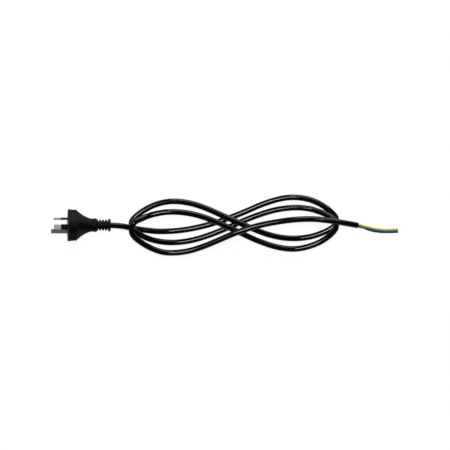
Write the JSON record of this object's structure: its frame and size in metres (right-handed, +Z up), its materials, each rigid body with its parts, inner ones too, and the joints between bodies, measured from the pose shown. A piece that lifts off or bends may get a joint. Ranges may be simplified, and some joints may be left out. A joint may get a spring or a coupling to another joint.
{
  "type": "power cord",
  "caption": "Black mains flex laid in a flat figure of eight, with a moulded flat-pin plug at one end and stripped coloured leads at the other.",
  "frame": {"origin": "bottom centre of the whole cord as it lies on a flat surface", "axes": "+X along the laid cord from the plug to the stripped leads, +Y across the figure of eight, +Z up from the surface"},
  "size_m": [0.4181, 0.0744, 0.0387],
  "materials": {
    "plug_black": "moulded PVC, matt",
    "sheath_black": "extruded PVC, satin gloss",
    "sleeve_black": "moulded, satin",
    "carrier_grey": "moulded, matt",
    "pin_nickel": "nickel plated, satin",
    "copper": "bright copper",
    "insulation_brown": "extruded PVC, satin",
    "insulation_blue": "extruded PVC, satin",
    "insulation_green_yellow": "extruded PVC, satin, yellow with a green stripe"
  },
  "bodies": {
    "root": {"plug_body": "plug_black", "pin_carrier": "carrier_grey", "active_pin": "pin_nickel", "neutral_pin": "pin_nickel", "earth_pin": "pin_nickel", "active_pin_sleeve": "sleeve_black", "neutral_pin_sleeve": "sleeve_black", "active_core": "insulation_brown", "neutral_core": "insulation_blue", "earth_core": "insulation_green_yellow", "active_conductor": "copper", "neutral_conductor": "copper", "earth_conductor": "copper", "flex_sheath": "sheath_black", "active_lead": "insulation_brown", "neutral_lead": "insulation_blue", "earth_lead": "insulation_green_yellow", "active_lead_copper": "copper", "neutral_lead_copper": "copper", "earth_lead_copper": "copper"}
  },
  "joints": []
}
